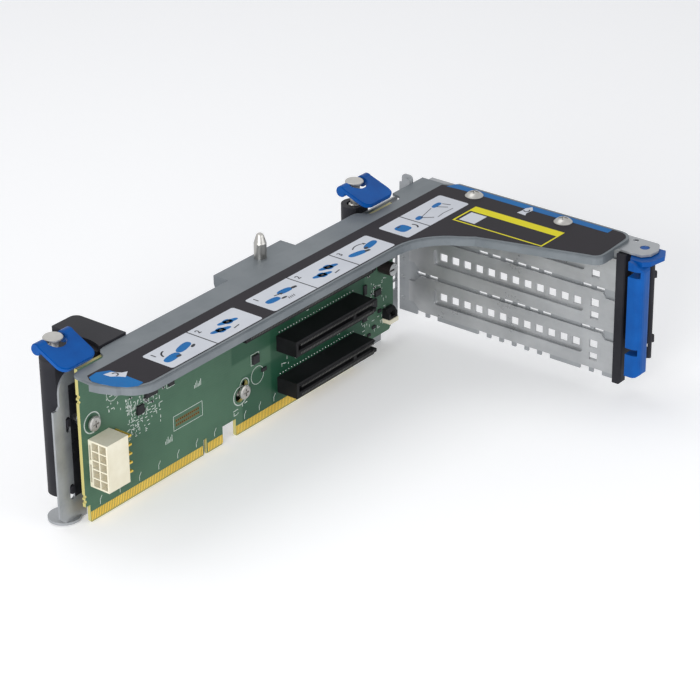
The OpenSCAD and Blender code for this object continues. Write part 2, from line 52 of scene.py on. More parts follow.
cameraView = {
    "azimuth": -51.665, "elevation": 26.919, "roll": -0.656,   # degrees
    "aim": (130.91, -32.86, 36.14), "distance": 1148.56,       # mm
    "lens": 136.794, "sensor": 36.0,
}
lampSettings = {
    # name: place (m), aim (m), size (m), power (W)
    "keyLamp": ((-1.05, -0.42, 0.45), (0.10, -0.03, 0.03), 0.6, 12.0),
    "fillLamp": ((0.35, -1.10, 0.35), (0.12, -0.03, 0.03), 0.8, 3.2),
    "topLamp": ((0.15, 0.35, 1.05), (0.12, -0.03, 0.03), 0.7, 2.5),
}
worldSettings = {"light": (0.93, 0.95, 1.0), "strength": 0.45}
floorSettings = {"size": 3.0, "height": -0.0006, "colour": (0.90, 0.90, 0.90),
                 "lift": 0.22}   # the floor's own glow


def makeCamera(settings):
    az, el, roll = (math.radians(settings[k]) for k in ("azimuth", "elevation", "roll"))
    back = Vector((math.sin(az) * math.cos(el), -math.cos(az) * math.cos(el), math.sin(el)))
    right = Vector((math.cos(az), math.sin(az), 0))
    up = back.cross(right)
    turnedRight = right * math.cos(roll) + up * math.sin(roll)
    turnedUp = up * math.cos(roll) - right * math.sin(roll)
    data = bpy.data.cameras.new("camera")
    data.lens, data.sensor_width = settings["lens"], settings["sensor"]
    data.clip_start, data.clip_end = 0.05, 20
    camera = bpy.data.objects.new("camera", data)
    bpy.context.scene.collection.objects.link(camera)
    turn = Matrix((turnedRight, turnedUp, back)).transposed().to_4x4()
    place = (Vector(settings["aim"]) + back * settings["distance"]) * mm
    camera.matrix_world = Matrix.Translation(place) @ turn
    bpy.context.scene.camera = camera


def whiteForView(tree, shader):
    # white to the camera, in reflections and through glass
    path = tree.nodes.new("ShaderNodeLightPath")
    glow = tree.nodes.new("ShaderNodeEmission")
    glow.inputs["Color"].default_value = (1, 1, 1, 1)
    pick = tree.nodes.new("ShaderNodeMixShader")
    first, second = tree.nodes.new("ShaderNodeMath"), tree.nodes.new("ShaderNodeMath")
    first.operation = second.operation = "MAXIMUM"
    tree.links.new(path.outputs["Is Camera Ray"], first.inputs[0])
    tree.links.new(path.outputs["Is Glossy Ray"], first.inputs[1])
    tree.links.new(first.outputs[0], second.inputs[0])
    tree.links.new(path.outputs["Is Transmission Ray"], second.inputs[1])
    tree.links.new(second.outputs[0], pick.inputs["Fac"])
    tree.links.new(shader, pick.inputs[1])
    tree.links.new(glow.outputs[0], pick.inputs[2])
    return pick.outputs[0]


def makeLight(lamps, worldLight):
    for name, (place, aim, size, power) in lamps.items():
        data = bpy.data.lights.new(name, "AREA")
        data.shape, data.size, data.energy = "SQUARE", size, power
        lamp = bpy.data.objects.new(name, data)
        lamp.location = place
        lamp.rotation_euler = (Vector(aim) - Vector(place)).to_track_quat("-Z", "Y").to_euler()
        bpy.context.scene.collection.objects.link(lamp)
    world = bpy.data.worlds.new("studio")
    bpy.context.scene.world = world
    world.use_nodes = True
    tree = world.node_tree
    soft = tree.nodes["Background"]
    soft.inputs["Color"].default_value = (*worldLight["light"], 1)
    soft.inputs["Strength"].default_value = worldLight["strength"]
    tree.links.new(whiteForView(tree, soft.outputs[0]),
                   tree.nodes["World Output"].inputs["Surface"])


def makeFloor(settings):
    half, z = settings["size"] / 2, settings["height"]
    mesh = bpy.data.meshes.new("floor")
    mesh.from_pydata([(-half, -half, z), (half, -half, z), (half, half, z), (-half, half, z)],
                     [], [(0, 1, 2, 3)])
    floor = bpy.data.objects.new("floor", mesh)
    bpy.context.scene.collection.objects.link(floor)
    paper = bpy.data.materials.new("paleFloor")
    paper.use_nodes = True
    shader = paper.node_tree.nodes["Principled BSDF"]
    shader.inputs["Base Color"].default_value = (*settings["colour"], 1)
    shader.inputs["Roughness"].default_value = 0.9
    shader.inputs["Emission Color"].default_value = (1, 1, 1, 1)
    shader.inputs["Emission Strength"].default_value = settings["lift"]
    mesh.materials.append(paper)


makeCamera(cameraView)
makeLight(lampSettings, worldSettings)
makeFloor(floorSettings)
bpy.context.scene.view_settings.view_transform = "Standard"
print("camera, lamps and floor ready")


# shared shader groups

def newGroup(name, inputs, outputs):
    group = bpy.data.node_groups.new(name, "ShaderNodeTree")
    for label, kind, value in inputs:
        socket = group.interface.new_socket(label, in_out="INPUT", socket_type=kind)
        socket.default_value = value
    for label, kind in outputs:
        group.interface.new_socket(label, in_out="OUTPUT", socket_type=kind)
    return group, group.nodes.new("NodeGroupInput"), group.nodes.new("NodeGroupOutput")


def makeFineGrain():
    # small even grain, as on moulded plastic and satin plating
    group, given, out = newGroup(
        "fineGrain", [("Scale", "NodeSocketFloat", 900.0)],
        [("Mask", "NodeSocketFloat")])
    place = group.nodes.new("ShaderNodeTexCoord")
    noise = group.nodes.new("ShaderNodeTexNoise")
    noise.inputs["Detail"].default_value = 3.0
    group.links.new(place.outputs["Object"], noise.inputs["Vector"])
    group.links.new(given.outputs["Scale"], noise.inputs["Scale"])
    group.links.new(noise.outputs["Fac"], out.inputs["Mask"])
    return group


def makeRolledLines():
    # long faint lines left by rolling, stretched along one direction
    group, given, out = newGroup(
        "rolledLines", [("Stretch", "NodeSocketVector", (0.03, 1.0, 1.0)),
                        ("Scale", "NodeSocketFloat", 700.0)],
        [("Mask", "NodeSocketFloat")])
    place = group.nodes.new("ShaderNodeTexCoord")
    stretch = group.nodes.new("ShaderNodeVectorMath")
    stretch.operation = "MULTIPLY"
    noise = group.nodes.new("ShaderNodeTexNoise")
    noise.inputs["Detail"].default_value = 4.0
    group.links.new(place.outputs["Object"], stretch.inputs[0])
    group.links.new(given.outputs["Stretch"], stretch.inputs[1])
    group.links.new(stretch.outputs[0], noise.inputs["Vector"])
    group.links.new(given.outputs["Scale"], noise.inputs["Scale"])
    group.links.new(noise.outputs["Fac"], out.inputs["Mask"])
    return group


def makeHandling():
    # soft uneven patches from handling and plating
    group, given, out = newGroup(
        "handling", [("Scale", "NodeSocketFloat", 45.0),
                     ("Low", "NodeSocketFloat", 0.35), ("High", "NodeSocketFloat", 0.65)],
        [("Mask", "NodeSocketFloat")])
    place = group.nodes.new("ShaderNodeTexCoord")
    noise = group.nodes.new("ShaderNodeTexNoise")
    noise.inputs["Detail"].default_value = 5.0
    noise.inputs["Roughness"].default_value = 0.6
    spread = group.nodes.new("ShaderNodeMapRange")
    group.links.new(place.outputs["Object"], noise.inputs["Vector"])
    group.links.new(given.outputs["Scale"], noise.inputs["Scale"])
    group.links.new(noise.outputs["Fac"], spread.inputs["Value"])
    group.links.new(given.outputs["Low"], spread.inputs["From Min"])
    group.links.new(given.outputs["High"], spread.inputs["From Max"])
    group.links.new(spread.outputs[0], out.inputs["Mask"])
    return group


groups = {"fineGrain": makeFineGrain(), "rolledLines": makeRolledLines(),
          "handling": makeHandling()}


# materials

def placeGroup(tree, name, **values):
    node = tree.nodes.new("ShaderNodeGroup")
    node.node_tree = groups[name]
    for label, value in values.items():
        node.inputs[label].default_value = value
    return node.outputs["Mask"]


def mixColours(tree, mask, first, second):
    mix = tree.nodes.new("ShaderNodeMix")
    mix.data_type = "RGBA"
    tree.links.new(mask, mix.inputs["Factor"])
    for socket, value in ((mix.inputs["A"], first), (mix.inputs["B"], second)):
        if isinstance(value, (tuple, list)):
            socket.default_value = (*value[:3], 1)
        else:
            tree.links.new(value, socket)
    return mix.outputs["Result"]


def spreadMask(tree, mask, low, high):
    spread = tree.nodes.new("ShaderNodeMapRange")
    tree.links.new(mask, spread.inputs["Value"])
    spread.inputs["To Min"].default_value = low
    spread.inputs["To Max"].default_value = high
    return spread.outputs[0]


def makeFinish(name, s):
    material = bpy.data.materials.new(name)
    material.use_nodes = True
    tree = material.node_tree
    shader = tree.nodes["Principled BSDF"]
    shader.inputs["Metallic"].default_value = s.get("metal", 0.0)
    shader.inputs["Specular IOR Level"].default_value = s.get("specular", 0.15)
    patches = placeGroup(tree, "handling", Scale=s.get("patches", 45.0))
    grain = placeGroup(tree, "fineGrain", Scale=s.get("grain", 900.0))
    colour = mixColours(tree, patches, s["dark"], s["light"])
    if "lines" in s:
        lines = placeGroup(tree, "rolledLines", Stretch=s["lines"], Scale=700.0)
        colour = mixColours(tree, spreadMask(tree, lines, 0.0, s["lineAmount"]), colour,
                            s["light"])
    tree.links.new(colour, shader.inputs["Base Color"])
    tree.links.new(spreadMask(tree, patches, s["rough"] - s["uneven"], s["rough"] + s["uneven"]),
                   shader.inputs["Roughness"])
    bump = tree.nodes.new("ShaderNodeBump")
    bump.inputs["Strength"].default_value = s.get("bump", 0.1)
    bump.inputs["Distance"].default_value = 0.0001
    tree.links.new(grain, bump.inputs["Height"])
    tree.links.new(bump.outputs["Normal"], shader.inputs["Normal"])
    return material


finishes = {
    "zincSteel": {"dark": (0.145, 0.165, 0.18), "light": (0.205, 0.225, 0.24), "metal": 0.6,
                  "rough": 0.5, "uneven": 0.05, "lines": (0.02, 1.0, 1.0),
                  "lineAmount": 0.5, "grain": 1400.0, "bump": 0.12},
    "panelSteel": {"dark": (0.27, 0.285, 0.30), "light": (0.38, 0.395, 0.41), "metal": 0.6,
                   "rough": 0.36, "uneven": 0.06, "lines": (1.0, 0.03, 1.0),
                   "lineAmount": 0.6, "grain": 1400.0, "bump": 0.1},
    "coverSteel": {"dark": (0.33, 0.34, 0.35), "light": (0.47, 0.48, 0.49), "metal": 0.6,
                   "rough": 0.33, "uneven": 0.06, "lines": (1.0, 0.03, 1.0),
                   "lineAmount": 0.6, "grain": 1500.0, "bump": 0.1},
    "brightSteel": {"dark": (0.34, 0.335, 0.32), "light": (0.50, 0.49, 0.47), "metal": 0.95,
                    "rough": 0.36, "uneven": 0.05, "lines": (1.0, 1.0, 0.05),
                    "lineAmount": 0.5, "bump": 0.06},
    "springWire": {"dark": (0.42, 0.41, 0.39), "light": (0.58, 0.57, 0.54), "metal": 1.0,
                   "rough": 0.3, "uneven": 0.05, "bump": 0.05},
    "labelFilm": {"dark": (0.022, 0.020, 0.024), "light": (0.032, 0.029, 0.034),
                  "specular": 0.1, "rough": 0.6, "uneven": 0.04, "grain": 2200.0, "bump": 0.06,
                  "patches": 25.0},
    "blackFilm": {"dark": (0.012, 0.012, 0.014), "light": (0.02, 0.02, 0.023),
                  "rough": 0.3, "uneven": 0.05, "bump": 0.03},
    "connectorBlack": {"dark": (0.008, 0.008, 0.009), "light": (0.016, 0.016, 0.018),
                       "rough": 0.5, "uneven": 0.06, "grain": 1600.0, "bump": 0.12},
    "contactGrey": {"dark": (0.05, 0.05, 0.048), "light": (0.10, 0.10, 0.095),
                    "rough": 0.4, "uneven": 0.05, "bump": 0.05},
    "chipBlack": {"dark": (0.018, 0.018, 0.02), "light": (0.035, 0.035, 0.038),
                  "rough": 0.55, "uneven": 0.08, "grain": 2500.0, "bump": 0.15},
    "housingBlack": {"dark": (0.014, 0.014, 0.018), "light": (0.024, 0.024, 0.029),
                     "rough": 0.5, "uneven": 0.05, "grain": 1300.0, "bump": 0.2},
    "headerNylon": {"dark": (0.70, 0.65, 0.50), "light": (0.78, 0.74, 0.60),
                    "rough": 0.45, "uneven": 0.06, "grain": 900.0, "bump": 0.08,
                    "patches": 90.0},
    "goldPlate": {"dark": (0.80, 0.52, 0.075), "light": (0.92, 0.64, 0.12), "metal": 0.5,
                  "rough": 0.34, "uneven": 0.06, "bump": 0.04},
    "latchBlue": {"dark": (0.001, 0.060, 0.26), "light": (0.002, 0.085, 0.34),
                  "rough": 0.36, "uneven": 0.05, "grain": 1500.0, "bump": 0.1,
                  "patches": 60.0},
    "capSleeve": {"dark": (0.020, 0.016, 0.016), "light": (0.034, 0.028, 0.027),
                  "rough": 0.3, "uneven": 0.05, "bump": 0.04},
    "printWhite": {"dark": (0.60, 0.62, 0.67), "light": (0.66, 0.68, 0.72),
                   "rough": 0.5, "uneven": 0.03, "grain": 2200.0, "bump": 0.05},
    "printBlue": {"dark": (0.003, 0.12, 0.36), "light": (0.004, 0.15, 0.42),
                  "rough": 0.5, "uneven": 0.03, "grain": 2200.0, "bump": 0.05},
    "printYellow": {"dark": (0.72, 0.64, 0.01), "light": (0.80, 0.71, 0.02),
                    "rough": 0.5, "uneven": 0.03, "grain": 2200.0, "bump": 0.05},
    "printDark": {"dark": (0.030, 0.031, 0.037), "light": (0.040, 0.041, 0.047),
                  "rough": 0.5, "uneven": 0.03, "grain": 2200.0, "bump": 0.05},
    "silkscreen": {"dark": (0.50, 0.56, 0.52), "light": (0.64, 0.69, 0.65),
                   "rough": 0.6, "uneven": 0.05, "patches": 400.0, "bump": 0.1},
    "solder": {"dark": (0.55, 0.56, 0.56), "light": (0.72, 0.73, 0.73), "metal": 0.8,
               "rough": 0.3, "uneven": 0.08, "bump": 0.1},
    "padBrown": {"dark": (0.16, 0.085, 0.02), "light": (0.24, 0.13, 0.04), "metal": 0.3,
                 "rough": 0.45, "uneven": 0.08, "bump": 0.1},
    # painted shade: a near-black finish for the hollows of the board holes
    "holeShade": {"dark": (0.006, 0.006, 0.006), "light": (0.012, 0.012, 0.012),
                 "rough": 0.7, "uneven": 0.05, "bump": 0.02},
}
materials = {name: makeFinish(name, s) for name, s in finishes.items()}


# solder mask over copper, with painted shade darkening the board round and between the connectors, and
# a tan edge
boardLook = {
    "mask": (0.050, 0.115, 0.072), "maskLight": (0.068, 0.145, 0.092),
    # the darkest green here is painted shade for the board round the connectors
    "connectorShade": (0.010, 0.060, 0.032), "edge": (0.50, 0.45, 0.17),
    "connectorShadeBoxes": [(112, 52, 22, 18), (112, 14, 16, 13), (150, 34, 34, 28), (150, 14, 34, 12)],
}


def makeBoardFinish(s):
    material = bpy.data.materials.new("boardMask")
    material.use_nodes = True
    tree = material.node_tree
    shader = tree.nodes["Principled BSDF"]
    shader.inputs["Specular IOR Level"].default_value = 0.2
    patches = placeGroup(tree, "handling", Scale=30.0)
    colour = mixColours(tree, patches, s["mask"], s["maskLight"])
    place = tree.nodes.new("ShaderNodeTexCoord")
    split = tree.nodes.new("ShaderNodeSeparateXYZ")
    tree.links.new(place.outputs["Object"], split.inputs[0])
    # fine copper traces under the mask
    traces = tree.nodes.new("ShaderNodeTexWave")
    traces.wave_type, traces.bands_direction = "BANDS", "Z"
    traces.inputs["Scale"].default_value = 260.0
    traces.inputs["Distortion"].default_value = 3.0
    traces.inputs["Detail"].default_value = 2.0
    traces.inputs["Detail Scale"].default_value = 0.4
    tree.links.new(place.outputs["Object"], traces.inputs["Vector"])
    colour = mixColours(tree, spreadMask(tree, traces.outputs["Fac"], 0.0, 0.22), colour,
                        s["maskLight"])
    # painted shade: soft-edged darker boxes round and between the tall connectors
    for x, z, halfWide, halfTall in s["connectorShadeBoxes"]:
        far = []
        for axis, centre, half in (("X", x, halfWide), ("Z", z, halfTall)):
            shift = tree.nodes.new("ShaderNodeMath")
            shift.operation = "SUBTRACT"
            tree.links.new(split.outputs[axis], shift.inputs[0])
            shift.inputs[1].default_value = centre * mm
            size = tree.nodes.new("ShaderNodeMath")
            size.operation = "ABSOLUTE"
            tree.links.new(shift.outputs[0], size.inputs[0])
            near = tree.nodes.new("ShaderNodeMapRange")
            near.inputs["From Min"].default_value = half * mm
            near.inputs["From Max"].default_value = (half - 1.2) * mm
            tree.links.new(size.outputs[0], near.inputs["Value"])
            far.append(near.outputs[0])
        both = tree.nodes.new("ShaderNodeMath")
        both.operation = "MULTIPLY"
        tree.links.new(far[0], both.inputs[0])
        tree.links.new(far[1], both.inputs[1])
        soft = spreadMask(tree, both.outputs[0], 0.0, 0.62)
        colour = mixColours(tree, soft, colour, s["connectorShade"])
    # bare laminate on the cut edges, where the surface doesn't face front or back
    shape = tree.nodes.new("ShaderNodeNewGeometry")
    facing = tree.nodes.new("ShaderNodeSeparateXYZ")
    tree.links.new(shape.outputs["Normal"], facing.inputs[0])
    size = tree.nodes.new("ShaderNodeMath")
    size.operation = "ABSOLUTE"
    tree.links.new(facing.outputs["Y"], size.inputs[0])
    cut = tree.nodes.new("ShaderNodeMapRange")
    cut.inputs["From Min"].default_value = 0.9
    cut.inputs["From Max"].default_value = 0.6
    tree.links.new(size.outputs[0], cut.inputs["Value"])
    colour = mixColours(tree, cut.outputs[0], colour, s["edge"])
    tree.links.new(colour, shader.inputs["Base Color"])
    tree.links.new(spreadMask(tree, patches, 0.34, 0.42), shader.inputs["Roughness"])
    bump = tree.nodes.new("ShaderNodeBump")
    bump.inputs["Strength"].default_value = 0.15
    bump.inputs["Distance"].default_value = 0.00005
    tree.links.new(traces.outputs["Fac"], bump.inputs["Height"])
    tree.links.new(bump.outputs["Normal"], shader.inputs["Normal"])
    return material


materials["boardMask"] = makeBoardFinish(boardLook)

nodeFinish = {
    "rail": "zincSteel", "label_sheet": "labelFilm", "back_wall": "panelSteel",
    "insulator": "blackFilm", "pin_bracket": "zincSteel", "guide_pin": "brightSteel",
    "rear_frame": "panelSteel", "slot_cover_1": "coverSteel", "slot_cover_2": "coverSteel",
    "slot_cover_3": "coverSteel", "top_screws": "brightSteel", "riser_board": "boardMask",
    "edge_contacts": "goldPlate", "slot_connector_1": "connectorBlack",
    "slot_connector_2": "connectorBlack", "slot_connector_3": "connectorBlack",
    "power_header": "headerNylon", "header_pins": "goldPlate", "capacitors": "capSleeve",
    "chips": "chipBlack", "board_screws": "brightSteel", "board_spacers": "brightSteel",
    "edge_clip": "connectorBlack", "clip_base": "headerNylon",
    "front_housing": "housingBlack", "rear_barrel": "housingBlack",
    "front_collar": "brightSteel", "rear_collar": "brightSteel",
    "front_spring": "springWire", "rear_spring": "springWire",
    "front_stud": "brightSteel", "rear_stud": "brightSteel", "front_pin": "brightSteel",
    "rear_pin": "brightSteel", "front_wing": "latchBlue", "rear_wing": "latchBlue",
    "hinge_pin": "brightSteel", "slot_retainer": "latchBlue",
    "pressure_bar": "housingBlack", "retainer_back": "housingBlack",
}
for name, finish in nodeFinish.items():
    mesh = nodes[name].data
    mesh.materials.clear()
    mesh.materials.append(materials[finish])
print("finishes given to", len(nodeFinish), "nodes")


# mesh helpers: sizes in mm, meshes in metres

def addPiece(name, points, faces, finish, smooth=False):
    mesh = bpy.data.meshes.new(name)
    mesh.from_pydata([Vector(p) * mm for p in points], [], faces)
    mesh.materials.append(materials[finish])
    piece = bpy.data.objects.new(name, mesh)
    bpy.context.scene.collection.objects.link(piece)
    shell = bmesh.new()
    shell.from_mesh(mesh)
    bmesh.ops.remove_doubles(shell, verts=shell.verts, dist=1e-8)
    bmesh.ops.recalc_face_normals(shell, faces=shell.faces)
    shell.to_mesh(mesh)
    shell.free()
    if smooth:
        for face in mesh.polygons:
            face.use_smooth = True
    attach(piece, "cage")
    return piece


def raised(outlines, low, high, up=2):
    # thin solids from flat outlines; up is the axis they rise along
    points, faces = [], []
    for outline in outlines:
        first, count = len(points), len(outline)
        for level in (low, high):
            for a, b in outline:
                points.append((a, b, level) if up == 2 else (a, level, b))
        faces.append([first + count + i for i in range(count)])
        faces.append([first + i for i in reversed(range(count))])
        for i in range(count):
            k = (i + 1) % count
            faces.append([first + i, first + k, first + count + k, first + count + i])
    return points, faces


def roundedBox(x0, y0, x1, y1, r=1.2, steps=4):
    corners = [(x1 - r, y1 - r, 0), (x0 + r, y1 - r, 90), (x0 + r, y0 + r, 180),
               (x1 - r, y0 + r, 270)]
    return [(cx + r * math.cos(math.radians(a + 90 * i / steps)),
             cy + r * math.sin(math.radians(a + 90 * i / steps)))
            for cx, cy, a in corners for i in range(steps + 1)]


def blob(x, y, long, wide, turn=0.0, sides=18, square=2.6):
    # a rounded lozenge
    out = []
    for i in range(sides):
        t = 2 * math.pi * i / sides
        c, s = math.cos(t), math.sin(t)
        a = math.copysign(abs(c) ** (2 / square), c) * long / 2
        b = math.copysign(abs(s) ** (2 / square), s) * wide / 2
        k = math.radians(turn)
        out.append((x + a * math.cos(k) - b * math.sin(k), y + a * math.sin(k) + b * math.cos(k)))
    return out


def stroke(path, width):
    # pieces of line, one quad for each stretch
    out = []
    for (x0, y0), (x1, y1) in zip(path, path[1:]):
        d = Vector((x1 - x0, y1 - y0)).normalized() * width / 2
        out.append([(x0 - d.x * 0.4 + d.y, y0 - d.y * 0.4 - d.x),
                    (x1 + d.x * 0.4 + d.y, y1 + d.y * 0.4 - d.x),
                    (x1 + d.x * 0.4 - d.y, y1 + d.y * 0.4 + d.x),
                    (x0 - d.x * 0.4 - d.y, y0 - d.y * 0.4 + d.x)])
    return out


def arcPath(x, y, r, a0, a1, steps=8):
    return [(x + r * math.cos(math.radians(a0 + (a1 - a0) * i / steps)),
             y + r * math.sin(math.radians(a0 + (a1 - a0) * i / steps)))
            for i in range(steps + 1)]


def arrowHead(x, y, turn, size):
    k = math.radians(turn)
    return [(x + size * (a * math.cos(k) - b * math.sin(k)),
             y + size * (a * math.sin(k) + b * math.cos(k)))
            for a, b in ((0.7, 0), (-0.5, 0.6), (-0.5, -0.6))]


# the label's printed fields

labelPrint = {
    "top": 73.55,
    "blocks": [((18.4, 74.6), (45.6,)), ((82.2, 164.6), (110.0, 138.8)), ((173.5, 219.4), (189.4,))],
    "back": -15.6, "front": -32.2, "gap": 0.55, "corner": 1.3,
    "frame": (200.8, -84.0, 218.8, -36.2), "frameLine": 0.8, "band": 5.2,
    "strip": [(229.2, -12.2), (234.0, -14.6), (234.0, -99.0), (230.0, -99.0), (230.0, -20.0)],
    "leftField": [(-7.4, -11.0), (-2.6, -10.4), (2.0, -13.6), (2.6, -18.4), (2.4, -31.0),
                  (-1.0, -31.6), (-4.6, -28.8), (-7.2, -24.2), (-8.8, -18.6), (-9.2, -14.2)],
}


def drawLatchPictures(blue, dark):
    # latch pictures: a folded and a raised wing, a turned pair, a pressed pair
    for x, y in ((27.5, -24.0),):
        blue += [blob(x - 2.2, y - 1.8, 9.5, 4.2, 8), blob(x + 7.4, y + 0.6, 10.0, 4.0, 14)]
        dark += stroke(arcPath(x - 0.2, y + 1.0, 3.6, 175, 95), 0.7)
        dark += [blob(x + 0.6, y - 3.0, 2.6, 1.6), blob(x + 10.8, y - 1.6, 3.0, 1.4, 20)]
    for x, y in ((58.6, -24.0), (124.5, -24.4)):
        blue += [blob(x - 3.0, y - 1.4, 10.5, 2.6, -12), blob(x - 3.0, y - 1.4, 4.4, 4.2),
                 blob(x + 4.6, y + 1.4, 10.5, 2.6, -12), blob(x + 4.6, y + 1.4, 4.4, 4.2)]
        dark += stroke([(x + 1.8, y - 4.6), (x + 5.4, y - 4.0)], 0.5)
        dark += [blob(x - 3.0, y - 1.4, 1.6, 1.2), blob(x + 4.6, y + 1.4, 1.6, 1.2)]
    x, y = 93.0, -24.2
    blue += [blob(x - 3.2, y - 0.6, 8.0, 3.6, -4), blob(x + 6.8, y + 1.4, 8.4, 3.4, -4)]
    dark += [blob(x + 12.0, y + 0.6, 3.4, 1.6, -6), blob(x + 1.8, y - 2.6, 3.2, 1.2, -4)]
    for i in range(4):
        dark += stroke([(x + 2.6 + i * 1.1, y - 5.0), (x + 3.2 + i * 1.1, y - 3.6)], 0.35)
    dark += stroke([(x + 0.4, y + 1.6), (x + 3.2, y + 1.0)], 0.6)
    dark.append(arrowHead(x + 4.0, y + 0.8, -12, 1.5))
    x, y = 151.0, -23.6
    blue += [blob(x - 3.6, y - 1.0, 10.0, 3.4, -10), blob(x + 7.2, y + 0.4, 9.6, 3.6, 10)]
    dark += [blob(x + 1.6, y - 2.4, 3.2, 1.6, -8), blob(x + 3.2, y - 0.4, 2.6, 1.6, 10)]
    dark += stroke(arcPath(x + 2.2, y - 2.6, 7.0, 125, 60), 0.5)
    dark.append(arrowHead(x + 6.2, y + 3.0, -35, 1.4))
    x, y = 180.2, -24.4
    blue += [blob(x, y, 7.0, 6.4, 0, 20, 3.4)]
    dark += [blob(x - 0.2, y + 2.2, 2.6, 0.8)]
    dark += stroke(arcPath(x + 4.0, y - 2.2, 2.4, -70, 40), 0.7)
    x, y = 203.0, -24.0
    blue += [blob(x - 9.6, y + 0.6, 4.6, 2.8, 10), blob(x + 6.4, y + 2.8, 6.6, 2.6, 4)]
    dark += stroke([(x - 9.0, y + 0.2), (x - 5.0, y - 4.2)], 0.5)
    dark += stroke([(x - 8.6, y + 0.2), (x + 2.0, y + 2.6)], 0.3)
    dark += stroke([(x + 5.0, y + 1.6), (x + 7.6, y - 2.6)], 0.5)
    dark += stroke([(x + 9.2, y + 1.6), (x + 10.4, y - 2.0)], 0.5)
    dark += stroke([(x - 3.6, y - 5.4), (x + 1.0, y - 4.8), (x + 8.0, y - 5.2)], 0.3)


def printLabel(s):
    z = s["top"]
    cells, blue, dark, yellow, tags = [], [], [], [], []
    for (x0, x1), cuts in s["blocks"]:
        edges = [x0, *cuts, x1]
        cells.append(roundedBox(x0, s["front"], x1, s["back"], s["corner"]))
        for cut in cuts:
            dark.append([(cut - s["gap"] / 2, s["front"]), (cut + s["gap"] / 2, s["front"]),
                         (cut + s["gap"] / 2, s["back"]), (cut - s["gap"] / 2, s["back"])])
    drawLatchPictures(blue, dark)
    # yellow frame with one solid side and a small white square
    fx0, fy0, fx1, fy1 = s["frame"]
    w = s["frameLine"]
    yellow += [[(fx0, fy0), (fx0 + w, fy0), (fx0 + w, fy1), (fx0, fy1)],
               [(fx0 + w, fy0), (fx1 - s["band"], fy0), (fx1 - s["band"], fy0 + w), (fx0 + w, fy0 + w)],
               [(fx0 + w, fy1 - w), (fx1 - s["band"], fy1 - w), (fx1 - s["band"], fy1), (fx0 + w, fy1)],
               [(fx1 - s["band"], fy0), (fx1, fy0), (fx1, fy1), (fx1 - s["band"], fy1)]]
    tags.append([(fx0 + 2.0, fy1 - 10.6), (fx1 - 6.4, fy1 - 10.6), (fx1 - 6.4, fy1 - 2.2),
                   (fx0 + 2.0, fy1 - 2.2)])
    # blue fields along the back edge and at the left end, each with a white tag
    blue += [s["strip"], s["leftField"]]
    for x, y, turn in ((0.6, -17.6, -52), (228.6, -57.0, 180)):
        k = math.radians(turn)
        tag = [(-4.6, 0.0), (-1.8, 2.2), (2.6, 1.6), (4.8, 2.6), (4.4, -2.2), (0.8, -1.6),
               (-1.6, -1.8)]
        tags.append([(x + a * math.cos(k) - b * math.sin(k), y + a * math.sin(k) + b * math.cos(k))
                       for a, b in tag])
        dark += stroke(arcPath(x, y, 1.3, turn - 60, turn + 150), 0.6)
    for name, outlines, finish, base in (
            ("labelCells", cells, "printWhite", 0.0), ("labelBlue", blue, "printBlue", 0.02),
            ("labelYellow", yellow, "printYellow", 0.0), ("labelTags", tags, "printWhite", 0.04),
            ("labelDark", dark, "printDark", 0.06)):
        points, faces = raised(outlines, z + base, z + base + 0.02)
        addPiece(name, points, faces, finish)


def printNumbers(z):
    # plain step numbers in the corners of the cells
    marks = [("1", 20.6, -19.2), ("2", 47.8, -19.2), ("1", 84.6, -19.2), ("2", 112.2, -19.2),
             ("3", 141.0, -19.2)]
    verts, faces = [], []
    for text, x, y in marks:
        curve = bpy.data.curves.new("number", "FONT")
        curve.body, curve.size, curve.offset = text, 4.0, 0.06
        made = bpy.data.objects.new("number", curve)
        bpy.context.scene.collection.objects.link(made)
        mesh = bpy.data.meshes.new_from_object(made)
        first = len(verts)
        verts += [(x + v.co.x, y + v.co.y - 1.2, z) for v in mesh.vertices]
        faces += [[first + i for i in p.vertices] for p in mesh.polygons]
        bpy.data.objects.remove(made)
        bpy.data.curves.remove(curve)
        bpy.data.meshes.remove(mesh)
    piece = addPiece("labelNumbers", verts, faces, "printDark")
    for face in piece.data.polygons:
        if face.normal.z < 0:
            face.flip()
    return piece


printLabel(labelPrint)
printNumbers(labelPrint["top"] + 0.085)
print("label printed")


# repeated small parts, laid out by geometry nodes

